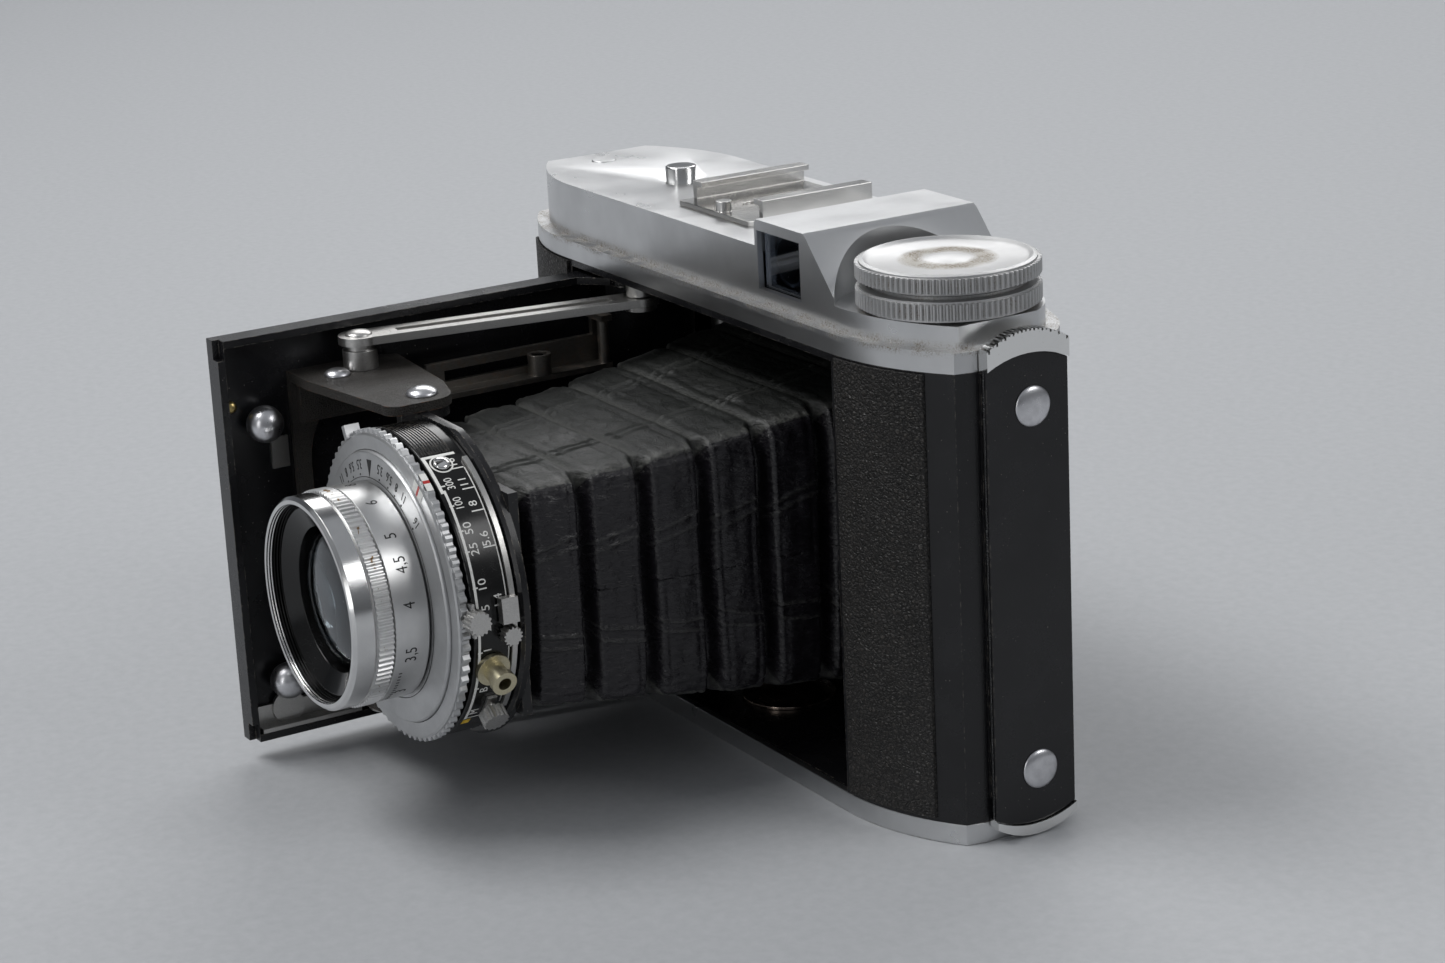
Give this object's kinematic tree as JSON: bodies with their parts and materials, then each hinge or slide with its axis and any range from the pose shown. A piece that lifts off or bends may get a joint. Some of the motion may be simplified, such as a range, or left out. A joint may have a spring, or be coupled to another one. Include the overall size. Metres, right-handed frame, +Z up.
{
  "type": "folding roll-film camera",
  "caption": "Self-erecting folding roll-film camera, open: metal body, hinged lens door, bellows, swinging shutter and lens, winding knob, finder and hinged back.",
  "frame": {"origin": "mouth of the tripod socket, in the plane of the underside of the base, on the lens axis's vertical plane", "axes": "+X along the body towards the winding knob, +Y from the lens towards the back, +Z up from the base; the lens points along -Y"},
  "size_m": [0.1293, 0.1024, 0.086],
  "materials": {
    "black_enamel": "gloss, worn at edges",
    "satin_chrome": "satin",
    "polished_chrome": "polished",
    "plated_brass": "worn plating",
    "finder_glass": "clear",
    "lens_glass": "coated",
    "black_matt_metal": "matt",
    "leather": "fine pebble grain",
    "bellows_leather": "creased leathercloth",
    "plated_steel": "satin",
    "spool_metal": "satin",
    "tarnished_steel": "tarnished",
    "crackle_paint": "wrinkle paint",
    "scale_enamel": "gloss with white scales",
    "yellowed_plating": "satin",
    "grey_anodised": "satin anodised",
    "blade_steel": "blued",
    "black_gloss_ring": "gloss",
    "spring_brass": "satin",
    "red_filter": "translucent"
  },
  "bodies": {
    "camera_body": {"body_shell": "black_enamel", "top_cover": "satin_chrome", "bottom_cover": "satin_chrome", "tripod_bush": "plated_brass", "finder_front_lens": "finder_glass", "finder_rear_lens": "finder_glass", "finder_tube": "black_matt_metal", "accessory_shoe": "polished_chrome", "leather_near": "leather", "leather_far": "leather", "film_gate": "black_matt_metal", "bellows_frame": "black_matt_metal", "bellows": "bellows_leather", "strut_pins": "plated_steel", "hinge_pins": "plated_steel", "back_hinge_pin": "plated_steel", "spool_pins": "plated_steel"},
    "guide_roller_near": {"guide_roller_near": "plated_steel"},
    "guide_roller_far": {"guide_roller_far": "plated_steel"},
    "advance_knob": {"advance_knob": "satin_chrome", "winding_shaft": "plated_steel", "take_up_spool": "spool_metal"},
    "reminder_dial": {"reminder_dial": "satin_chrome"},
    "supply_spool": {"supply_spool": "spool_metal"},
    "release_button": {"release_button": "polished_chrome"},
    "door_button": {"door_button": "satin_chrome"},
    "lens_door": {"lens_door": "black_enamel", "door_leather": "leather", "door_strip": "plated_steel", "door_links": "tarnished_steel"},
    "catch_stud_top": {"catch_stud_top": "polished_chrome"},
    "catch_stud_bottom": {"catch_stud_bottom": "polished_chrome"},
    "lens_bracket": {"lens_bracket": "crackle_paint", "bracket_rivets": "polished_chrome", "strut_posts": "plated_steel"},
    "strut_top": {"strut_top": "plated_steel"},
    "strut_bottom": {"strut_bottom": "plated_steel"},
    "shutter": {"lens_board": "black_enamel", "shutter_case": "scale_enamel", "sync_post": "yellowed_plating", "dof_ring": "grey_anodised", "rear_cell": "black_matt_metal", "aperture_blades": "blade_steel", "shutter_blades": "blade_steel"},
    "speed_ring": {"speed_ring": "grey_anodised"},
    "focus_mount": {"focus_ring": "satin_chrome", "name_ring": "black_gloss_ring", "front_glass": "lens_glass"},
    "aperture_lever": {"aperture_lever": "plated_steel"},
    "cocking_lever": {"cocking_lever": "plated_steel"},
    "timer_lever": {"timer_lever": "plated_steel"},
    "back_cover": {"back_cover": "black_enamel", "back_leather": "leather", "red_window": "red_filter", "pressure_springs": "spring_brass"},
    "pressure_plate": {"pressure_plate": "black_matt_metal"},
    "window_slide": {"window_slide": "black_matt_metal"},
    "latch": {"latch_bar": "polished_chrome", "latch_panel": "black_enamel", "latch_rivets": "polished_chrome"}
  },
  "joints": [
    {"name": "door_hinge", "type": "hinge", "parent": "camera_body", "child": "lens_door", "pos_m": [-0.0285, -0.0105, 0.0362], "axis": [0, 0, 1], "range_deg": [0, 90], "deforming": ["bellows"]},
    {"name": "bracket_travel", "type": "slide", "parent": "lens_door", "child": "lens_bracket", "axis": [0, 1, 0], "range_m": [0, 0.033]},
    {"name": "shutter_swing", "type": "hinge", "parent": "lens_bracket", "child": "shutter", "pos_m": [-0.0094, -0.056, 0.0362], "axis": [0, 0, 1], "range_deg": [-90, 0]},
    {"name": "strut_top_swing", "type": "hinge", "parent": "camera_body", "child": "strut_top", "pos_m": [-0.0217, -0.0112, 0.066], "axis": [0, 0, 1], "range_deg": [0, 100]},
    {"name": "strut_bottom_swing", "type": "hinge", "parent": "camera_body", "child": "strut_bottom", "pos_m": [-0.0217, -0.0112, 0.006], "axis": [0, 0, 1], "range_deg": [0, 100]},
    {"name": "focus_turn", "type": "hinge", "parent": "shutter", "child": "focus_mount", "pos_m": [0, -0.06, 0.0362], "axis": [0, 1, 0], "range_deg": [-180, 60]},
    {"name": "speed_turn", "type": "hinge", "parent": "shutter", "child": "speed_ring", "pos_m": [0, -0.06, 0.0362], "axis": [0, 1, 0], "range_deg": [0, 81]},
    {"name": "aperture_turn", "type": "hinge", "parent": "shutter", "child": "aperture_lever", "pos_m": [0, -0.06, 0.0362], "axis": [0, 1, 0], "range_deg": [-56, 4]},
    {"name": "cocking_turn", "type": "hinge", "parent": "shutter", "child": "cocking_lever", "pos_m": [0, -0.06, 0.0362], "axis": [0, 1, 0], "range_deg": [-35, 0]},
    {"name": "timer_turn", "type": "hinge", "parent": "shutter", "child": "timer_lever", "pos_m": [0, -0.06, 0.0362], "axis": [0, 1, 0], "range_deg": [0, 22]},
    {"name": "release_press", "type": "slide", "parent": "camera_body", "child": "release_button", "axis": [0, 0, -1], "range_m": [0, 0.0018]},
    {"name": "door_press", "type": "slide", "parent": "camera_body", "child": "door_button", "axis": [0, 0, -1], "range_m": [0, 0.0012]},
    {"name": "knob_turn", "type": "hinge", "parent": "camera_body", "child": "advance_knob", "pos_m": [0.048, 0.0005, 0.078], "axis": [0, 0, 1], "continuous": true},
    {"name": "dial_turn", "type": "hinge", "parent": "advance_knob", "child": "reminder_dial", "pos_m": [0.048, 0.0005, 0.082], "axis": [0, 0, 1], "continuous": true},
    {"name": "supply_turn", "type": "hinge", "parent": "camera_body", "child": "supply_spool", "pos_m": [-0.048, 0.0005, 0.036], "axis": [0, 0, 1], "continuous": true},
    {"name": "roller_near_turn", "type": "hinge", "parent": "camera_body", "child": "guide_roller_near", "pos_m": [0.0347, 0.0121, 0.036], "axis": [0, 0, 1], "continuous": true},
    {"name": "roller_far_turn", "type": "hinge", "parent": "camera_body", "child": "guide_roller_far", "pos_m": [-0.0347, 0.0121, 0.036], "axis": [0, 0, 1], "continuous": true},
    {"name": "catch_top_slide", "type": "slide", "parent": "lens_door", "child": "catch_stud_top", "axis": [0, 0, -1], "range_m": [0, 0.0015]},
    {"name": "catch_bottom_slide", "type": "slide", "parent": "lens_door", "child": "catch_stud_bottom", "axis": [0, 0, 1], "range_m": [0, 0.0015]},
    {"name": "back_hinge", "type": "hinge", "parent": "camera_body", "child": "back_cover", "pos_m": [-0.0629, 0.0131, 0.036], "axis": [0, 0, 1], "range_deg": [0, 110]},
    {"name": "latch_slide", "type": "slide", "parent": "back_cover", "child": "latch", "axis": [0, 0, 1], "range_m": [0, 0.0028]},
    {"name": "pressure_plate_travel", "type": "slide", "parent": "back_cover", "child": "pressure_plate", "axis": [0, -1, 0], "range_m": [-0.0004, 0.0004], "deforming": ["pressure_springs"]},
    {"name": "window_travel", "type": "slide", "parent": "back_cover", "child": "window_slide", "axis": [1, 0, 0], "range_m": [-0.0091, 0]}
  ],
  "couplings": [
    {"joint": "bracket_travel", "follows": "door_hinge", "m_per_rad": 0.021008},
    {"joint": "shutter_swing", "follows": "door_hinge", "ratio": -1},
    {"joint": "strut_top_swing", "follows": "door_hinge", "ratio": 1.11},
    {"joint": "strut_bottom_swing", "follows": "door_hinge", "ratio": 1.11}
  ]
}
